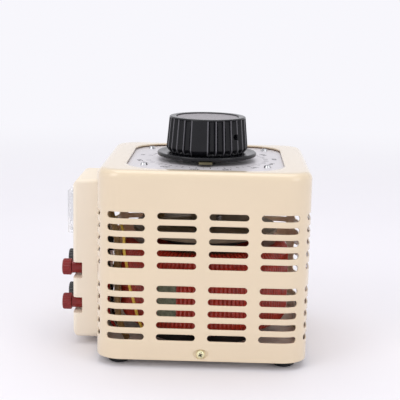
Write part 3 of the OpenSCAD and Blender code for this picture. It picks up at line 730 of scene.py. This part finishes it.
def skirt_profile():
    """The hub under the skirt, the skirt's rounded rim, and a shallow groove in its top."""
    low, high, r = SKIRT_LOW.z, SKIRT_HIGH.z, SKIRT_HIGH.x
    base = low + 1.0
    profile = [(10, low), (25.7, low), (26, low + 0.3), (26, base - 0.02)]
    profile += [(r - 0.8, base), (r - 0.3, base + 0.15), (r, base + 0.6), (r, high - 0.75)]
    profile += [(r - 0.15, high - 0.35), (r - 0.5, high - 0.08), (r - 0.9, high)]
    profile += [(29, high - 0.12), (27.5, high - 0.35), (24, high - 0.35)]
    profile += [(22.8, high - 0.2), (22, high), (SHAFT_HOLE_R, high)]
    return profile


def make_knob():
    lathe("knob_body", knob_body_profile(), KNOB_SIDES, "rotor", "knob_black", ["knob"],
          flute_shift)
    lathe("skirt_disc", skirt_profile(), 256, "rotor", "knob_black", ["knob_skirt"])
    disc_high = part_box("knob_disc")[1] / MM
    disc = [(19.75, disc_high.z - 1), (19.75, disc_high.z - 0.25), (19.5, disc_high.z - 0.02)]
    rings = 9
    for k in range(rings):
        share = 1 - (k + 0.5) / rings
        disc.append((19 * share + 0.3, disc_high.z - (0.06 if k % 2 else 0.0)))
    disc.append((0.01, disc_high.z))
    lathe("knob_top_disc", disc, 192, "rotor", "knob_disc_grey", ["knob_disc"])


# ---- cover screws: domed heads sunk in the cover's dimples ----

SCREW_HEAD_R = 2.75
SCREW_SIDES = 32
# A dark cross of two thin bars on each head: painted shade in place of a sunk cross recess.
SHADE_CROSS_LEAN = 25
SHADE_CROSS_HALF = (1.25, 0.36, 0.24)

# From the middle of the head out to its rim and back along the shank: radius, and how far out.
SCREW_PROFILE = ((0.02, 1.45), (1.2, 1.4), (2.0, 1.1), (2.5, 0.6), (SCREW_HEAD_R, 0),
                 (SCREW_HEAD_R, -0.5), (SCREW_HEAD_R - 0.1, -0.88), (1.5, -0.9), (1.5, -6))


def make_cover_screws():
    """One screw on each side but the front, with a dark cross of thin bars on its head: painted shade
    standing in for its cross recess.
    """
    points = []
    faces = []
    bars = []
    sides = SCREW_SIDES
    for side in range(FRONT_SIDE):
        turn = Matrix.Rotation(side * math.pi / 2, 3, "Z")
        start = len(points)
        for r, out in SCREW_PROFILE:
            for k in range(sides):
                angle = TAU * k / sides
                spot = Vector((CASE_HALF + out, r * math.cos(angle), SCREW_Z + r * math.sin(angle)))
                points.append(turn @ spot)
        faces += [tuple(start + i for i in reversed(f)) for f in grid_faces(len(SCREW_PROFILE), sides)]
        faces.append(tuple(start + i for i in range(sides)))
        out = turn @ Vector((1, 0, 0))
        # The two bars of the painted shade cross, standing just out of the domed head.
        for lean in (SHADE_CROSS_LEAN, SHADE_CROSS_LEAN + 90):
            angle = math.radians(lean)
            along = turn @ Vector((0, math.cos(angle), math.sin(angle)))
            centre = out * (CASE_HALF + 1.25) + Vector((0, 0, SCREW_Z))
            bars.append((centre, along, out.cross(along), out, *SHADE_CROSS_HALF))
    add_piece("cover_screw_heads", points, faces, "chassis", "yellow_zinc", ["cover_screws"])
    bar_points, bar_faces = bars_mesh(bars)
    add_piece("screw_recess_shade", bar_points, bar_faces, "chassis", "screw_shadow")


# ---- winding ----

TURNS = 118
GAP_ANGLE = math.radians(16)
GAP_MID = math.radians(150)
WIRE_R = 1.1
COIL_ROUND = 6.9
COIL_HOLE_R = 20.5
CORNER_STEPS = 7
TOP_STEPS = 6
SAMPLES_PER_TURN = 6
RIB_POWER = 2.2
WORN_RIB = 0.72


def coil_profile():
    """Points and outward normals round the coil's rounded section, as (r, z, nr, nz)."""
    r0, r1 = COIL_HOLE_R + WIRE_R, COIL_HIGH.x / MM - 0.001 - WIRE_R
    z0, z1 = COIL_LOW.z / MM + WIRE_R, COIL_HIGH.z / MM - WIRE_R
    section = []
    corners = ((r1, z1, 0), (r0, z1, 90), (r0, z0, 180), (r1, z0, 270))
    for r, z, start in corners:
        inward_r = -COIL_ROUND if r == r1 else COIL_ROUND
        inward_z = -COIL_ROUND if z == z1 else COIL_ROUND
        for k in range(CORNER_STEPS + 1):
            turn = math.radians(start + 90 * k / CORNER_STEPS)
            nr, nz = math.cos(turn), math.sin(turn)
            section.append((r + inward_r + COIL_ROUND * nr, z + inward_z + COIL_ROUND * nz, nr, nz))
        if start == 0:
            for k in range(1, TOP_STEPS):
                along = (r0 - r1 + 2 * COIL_ROUND) * k / TOP_STEPS
                section.append((r1 - COIL_ROUND + along, z1, 0, 1))
    return section


def make_winding():
    """The section swept round, swelling into one rib per turn, lower where the brush runs."""
    section = coil_profile()
    first = GAP_MID + GAP_ANGLE / 2
    span = TAU - GAP_ANGLE
    points = []
    samples = TURNS * SAMPLES_PER_TURN + 1
    for i in range(samples):
        angle = first + span * i / (samples - 1)
        phase = (i % SAMPLES_PER_TURN) / SAMPLES_PER_TURN - 0.5
        rib = WIRE_R * (1 - (2 * abs(phase)) ** RIB_POWER)
        for r, z, nr, nz in section:
            worn = nz > 0.99 and abs(r * MM - TRACK_RADIUS) < TRACK_HALF
            lift = min(rib, WIRE_R * WORN_RIB) if worn else rib
            reach = r + nr * lift
            points.append((reach * math.cos(angle), reach * math.sin(angle), z + nz * lift))
    faces = grid_faces(samples, len(section))
    faces.append(tuple(range(len(section) - 1, -1, -1)))
    faces.append(tuple(range((samples - 1) * len(section), samples * len(section))))
    add_piece("winding_turns", points, faces, "chassis", "enamelled_wire", ["winding"],
              smooth_angle=75)


# ---- leads, on the routes of the CAD model ----

LEADS = {
    "lead_yellow": ((48, -32, 12), (55, -37.5, 24), (57.2, -42.1, 41), (57.4, -44.2, 48.5),
                    (57.2, -46.3, 63), (57, -47.8, 71), (53, -48.6, 79.5), (46, -51.4, 86),
                    (38, -57, 89), (28, -59.8, 88), (16, -62, 86), (8, -66, 80), (4, -68.4, 76)),
    "lead_red": ((22, -57, 12), (24, -59.5, 18), (25, -61, 27), (22, -61.5, 36), (18, -61.6, 43),
                 (14.2, -64, 47.5), (14, -68, 49.2), (14, -70.4, 49.2)),
    "lead_black": ((14, -56.5, 12), (6, -60, 18), (2, -61, 26), (-4, -62, 36), (-10, -65, 46),
                   (-14, -68, 49.2), (-14, -70.4, 49.2)),
    "lead_green": ((-40, -45, 11), (-48, -52, 20), (-44, -59, 34), (-30, -61, 44), (-20, -62, 42),
                   (-13, -63, 34), (-13.6, -66, 27), (-14, -68, 26), (-14, -70.4, 26)),
    "lead_brown": ((44, -47, 12), (49, -51, 24), (51.6, -52.4, 36), (52, -52.4, 47),
                   (52, -52.4, 62), (51.6, -52.7, 76), (49, -55.5, 89), (38, -60.6, 96),
                   (22, -61.4, 97.6), (4, -61.4, 97), (-4, -63.5, 91), (-6, -66, 82),
                   (-6, -67.4, 76)),
}
SLEEVE_R = 2
LEAD_R = 0.9


def make_leads():
    for name, route in LEADS.items():
        curve = bpy.data.curves.new(name + "_sleeve", "CURVE")
        curve.dimensions = "3D"
        curve.bevel_depth = (SLEEVE_R if name == "lead_brown" else LEAD_R) * MM
        curve.bevel_resolution = 4
        curve.resolution_u = 10
        curve.use_fill_caps = True
        spline = curve.splines.new("BEZIER")
        spline.bezier_points.add(len(route) - 1)
        for spot, place in zip(spline.bezier_points, route):
            spot.co = Vector(place) * MM
            spot.handle_left_type = spot.handle_right_type = "AUTO"
        curve.materials.append(materials[slot_of[name]])
        piece = bpy.data.objects.new(name + "_sleeve", curve)
        bpy.context.scene.collection.objects.link(piece)
        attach(piece, "chassis")
        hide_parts(name)


# ---- binding-post caps ----

POSTS = {
    "red_cap_upper": ("red_upper", "red_terminal"),
    "red_cap_lower": ("red_lower", "red_terminal"),
    "black_cap_upper": ("black_upper", "black_terminal"),
    "black_cap_lower": ("black_lower", "black_terminal"),
}
KNURLS = 20
KNURL_DEPTH = 0.42
SIDES_PER_KNURL = 8
CAP_BORE_R = 2.75
CAP_STEPS = 6


def cap_profile(back, front, r):
    """A cap's section as (radius, y), from the bore at the back round to the bore again."""
    bore = CAP_BORE_R
    profile = [(bore, back), (r - 0.9, back), (r - 0.3, back - 0.3), (r, back - 0.8)]
    for k in range(1, CAP_STEPS + 1):
        profile.append((r, back - 0.8 + (front + 1.6 - back) * k / CAP_STEPS))
    profile += [(r - 0.25, front + 0.35), (r - 0.8, front), (bore + 0.5, front)]
    return profile + [(bore, front + 0.4), (bore, back)]


def make_caps():
    for name, (body, slot) in POSTS.items():
        low, high = [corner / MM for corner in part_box(name)]
        centre_x, centre_z = (low.x + high.x) / 2, (low.z + high.z) / 2
        back, front = high.y, low.y
        r = (high.x - low.x) / 2
        profile = cap_profile(back, front, r)
        sides = KNURLS * SIDES_PER_KNURL
        points = []
        for reach, y in profile:
            for k in range(sides):
                angle = TAU * k / sides
                inside = smooth_step(abs(y - back), 0.5, 1.0)
                inside *= smooth_step(abs(y - front), 0.3, 0.8)
                phase = abs((k / SIDES_PER_KNURL) % 1 - 0.5) * 2
                depth = KNURL_DEPTH * (1 - phase ** 1.5) * inside if reach > r - 0.1 else 0
                x = centre_x + (reach - depth) * math.cos(angle)
                z = centre_z + (reach - depth) * math.sin(angle)
                points.append((x, y, z))
        faces = [tuple(reversed(f)) for f in grid_faces(len(profile), sides)]
        add_piece(name + "_knurled", points, faces, body, slot, [name])


# ---- markings: ticks and plain numbers on the dial and the voltmeter ----

DIAL_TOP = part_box("dial_plate")[1].z / MM
DIAL_ZERO = math.radians(254)
DIAL_FULL = math.radians(-74)
DIAL_VOLTS = 250
DIAL_TICKS_R = 37
DIAL_NUMBERS_R = 44
DIAL_NUMBER_SIZE = 4.2
INK = 0.05
BOX_FACES = ((0, 1, 3, 2), (4, 6, 7, 5), (0, 4, 5, 1), (2, 3, 7, 6), (0, 2, 6, 4), (1, 5, 7, 3))


def bars_mesh(bars):
    """One mesh of thin boxes. Each bar is its centre, three directions and three half sizes."""
    points = []
    faces = []
    for centre, along, across, up, half_long, half_wide, half_high in bars:
        start = len(points)
        for a in (-1, 1):
            for b in (-1, 1):
                for c in (-1, 1):
                    corner = along * a * half_long + across * b * half_wide
                    points.append(centre + corner + up * c * half_high)
        for f in BOX_FACES:
            faces.append(tuple(start + i for i in f))
    return points, faces


def number_points(text, size):
    """The outline mesh of a plain number, flat, centred, in millimetres."""
    curve = bpy.data.curves.new("number", "FONT")
    curve.body = text
    curve.size = size
    curve.align_x = "CENTER"
    curve.align_y = "CENTER"
    curve.extrude = INK / 2
    curve.resolution_u = 3
    holder = bpy.data.objects.new("number", curve)
    bpy.context.scene.collection.objects.link(holder)
    mesh = bpy.data.meshes.new_from_object(holder)
    points = [v.co.copy() for v in mesh.vertices]
    faces = [tuple(p.vertices) for p in mesh.polygons]
    bpy.data.objects.remove(holder)
    bpy.data.curves.remove(curve)
    bpy.data.meshes.remove(mesh)
    return points, faces


def make_dial_marks():
    """A tick each 5 volts, longer each 10, and a number each 20 and at the end."""
    up = Vector((0, 0, 1))
    bars = []
    points = []
    faces = []
    ink = up * (DIAL_TOP + INK / 2)
    for volts in range(0, DIAL_VOLTS + 1, 5):
        angle = DIAL_ZERO + (DIAL_FULL - DIAL_ZERO) * volts / DIAL_VOLTS
        out = Vector((math.cos(angle), math.sin(angle), 0))
        across = Vector((-out.y, out.x, 0))
        major = volts % 10 == 0
        length = 3.2 if major else 1.9
        centre = out * (DIAL_TICKS_R + length / 2) + ink
        bars.append((centre, out, across, up, length / 2, 0.28 if major else 0.16, INK / 2))
        if volts % 20 == 0 or volts == DIAL_VOLTS:
            shape, shape_faces = number_points(str(volts), DIAL_NUMBER_SIZE)
            start = len(points)
            for p in shape:
                points.append(out * (DIAL_NUMBERS_R + p.y) - across * p.x + ink + up * p.z)
            faces += [tuple(start + i for i in f) for f in shape_faces]
    bar_points, bar_faces = bars_mesh(bars)
    add_piece("dial_ticks", bar_points, bar_faces, "chassis", "ink")
    add_piece("dial_numbers", points, faces, "chassis", "ink")


METER_FULL = 300
METER_HALF_ANGLE = 44
METER_TICKS_R = 13.2
METER_NUMBERS_R = 11.4
METER_NUMBER_SIZE = 2.2


def make_meter_marks():
    """A tick each 10 volts, longer each 50, and a number each 100."""
    face_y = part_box("meter_scale")[0].y / MM
    pivot = Vector((0, face_y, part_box("meter_pivot")[0].z / MM + 1))
    toward = Vector((0, -1, 0))
    bars = []
    points = []
    faces = []
    for volts in range(0, METER_FULL + 1, 10):
        angle = math.radians(METER_HALF_ANGLE * (2 * volts / METER_FULL - 1))
        out = Vector((math.sin(angle), 0, math.cos(angle)))
        across = Vector((out.z, 0, -out.x))
        major = volts % 50 == 0
        length = 1.8 if major else 1.1
        centre = pivot + out * (METER_TICKS_R + length / 2) + toward * INK
        bars.append((centre, out, across, toward, length / 2, 0.16 if major else 0.09, INK / 2))
        if volts % 100 == 0:
            shape, shape_faces = number_points(str(volts), METER_NUMBER_SIZE)
            start = len(points)
            for p in shape:
                spot = pivot + out * METER_NUMBERS_R + toward * (INK + p.z)
                points.append(spot + Vector((p.x, 0, p.y)))
            faces += [tuple(start + i for i in f) for f in shape_faces]
    bar_points, bar_faces = bars_mesh(bars)
    add_piece("meter_ticks", bar_points, bar_faces, "chassis", "ink")
    add_piece("meter_numbers", points, faces, "chassis", "ink")


# ---- stage and light ----

FLOOR_R = 4
WALL_BEND = 0.4
WALL_TOP = 1.3
STAGE_SIDES = 96
BACKDROP_FROM = 0.3
BACKDROP_FULL = 1.2
FLOOR_COLOUR = (0.86, 0.84, 0.88)
BACKDROP_COLOUR = (0.937, 0.93, 0.975, 1)


def stage_material():
    """A matte floor round the object that turns into an evenly lit backdrop further out."""
    mat = finish_material("stage", FLOOR_COLOUR, 0.7, mottle=0.01, mottle_scale=3, grain=0.00001)
    tree = mat.node_tree
    shader = tree.nodes["Principled BSDF"]
    place = tree.nodes.new("ShaderNodeTexCoord")
    reach = tree.nodes.new("ShaderNodeVectorMath")
    reach.operation = "LENGTH"
    tree.links.new(place.outputs["Object"], reach.inputs[0])
    far = tree.nodes.new("ShaderNodeMapRange")
    far.interpolation_type = "SMOOTHSTEP"
    far.inputs["From Min"].default_value = BACKDROP_FROM
    far.inputs["From Max"].default_value = BACKDROP_FULL
    tree.links.new(reach.outputs["Value"], far.inputs["Value"])
    glow = tree.nodes.new("ShaderNodeEmission")
    glow.inputs["Color"].default_value = BACKDROP_COLOUR
    glow.inputs["Strength"].default_value = 1
    blend = tree.nodes.new("ShaderNodeMixShader")
    tree.links.new(far.outputs["Result"], blend.inputs[0])
    tree.links.new(shader.outputs["BSDF"], blend.inputs[1])
    tree.links.new(glow.outputs["Emission"], blend.inputs[2])
    tree.links.new(blend.outputs["Shader"], tree.nodes["Material Output"].inputs["Surface"])
    return mat


def make_stage():
    """A pale round floor that curves up into a low wall far from the object."""
    sides = STAGE_SIDES
    rings = [(r, 0) for r in (0.02, 0.3, 1, FLOOR_R)]
    for k in range(1, 9):
        turn = math.pi / 2 * k / 8
        rings.append((FLOOR_R + WALL_BEND * math.sin(turn), WALL_BEND * (1 - math.cos(turn))))
    rings.append((FLOOR_R + WALL_BEND, WALL_TOP))
    points = [(r * math.cos(TAU * k / sides), r * math.sin(TAU * k / sides), z)
              for r, z in rings for k in range(sides)]
    faces = grid_faces(len(rings), sides) + [tuple(range(sides))]
    mesh = bpy.data.meshes.new("floor")
    mesh.from_pydata(points, [], faces)
    mesh.shade_smooth()
    mesh.materials.append(stage_material())
    floor = bpy.data.objects.new("floor", mesh)
    bpy.context.scene.collection.objects.link(floor)


def add_light(name, place, target, size, power):
    data = bpy.data.lights.new(name, "AREA")
    data.shape = "RECTANGLE"
    data.size, data.size_y = size
    data.energy = power
    light = bpy.data.objects.new(name, data)
    bpy.context.scene.collection.objects.link(light)
    light.location = place
    light.rotation_mode = "QUATERNION"
    light.rotation_quaternion = (Vector(target) - Vector(place)).to_track_quat("-Z", "Y")


def make_light():
    """A bright room, soft panels to both sides of the camera, and one above."""
    world = bpy.data.worlds.new("studio")
    bpy.context.scene.world = world
    world.use_nodes = True
    sky = world.node_tree.nodes["Background"]
    sky.inputs["Color"].default_value = (0.97, 0.97, 1, 1)
    sky.inputs["Strength"].default_value = 0.72
    middle = (0, 0, 0.07)
    add_light("key_left", (0.9, -0.9, 0.9), middle, (0.7, 0.9), 4)
    add_light("key_right", (0.9, 1.0, 0.8), middle, (0.7, 0.9), 3)
    add_light("overhead", (-0.1, 0, 1.4), middle, (1.2, 1.2), 7)
    bpy.context.scene.view_settings.view_transform = "Standard"
    bpy.context.scene.view_settings.exposure = 0


# ---- the scene ----

EDGE_WIDTHS = {"terminal_box": 0.8, "meter_window": 0.5, "base_plate": 0.25, "rubber_feet": 0.4,
               "brush_arm": 0.3, "meter_case": 0.3}

make_camera()
paint_cad_nodes()
make_cover()
make_knob()
make_cover_screws()
make_winding()
make_leads()
make_caps()
make_dial_marks()
make_meter_marks()
for part_name, edge_width in EDGE_WIDTHS.items():
    shade_cad_edges(part_name, edge_width)
make_stage()
make_light()
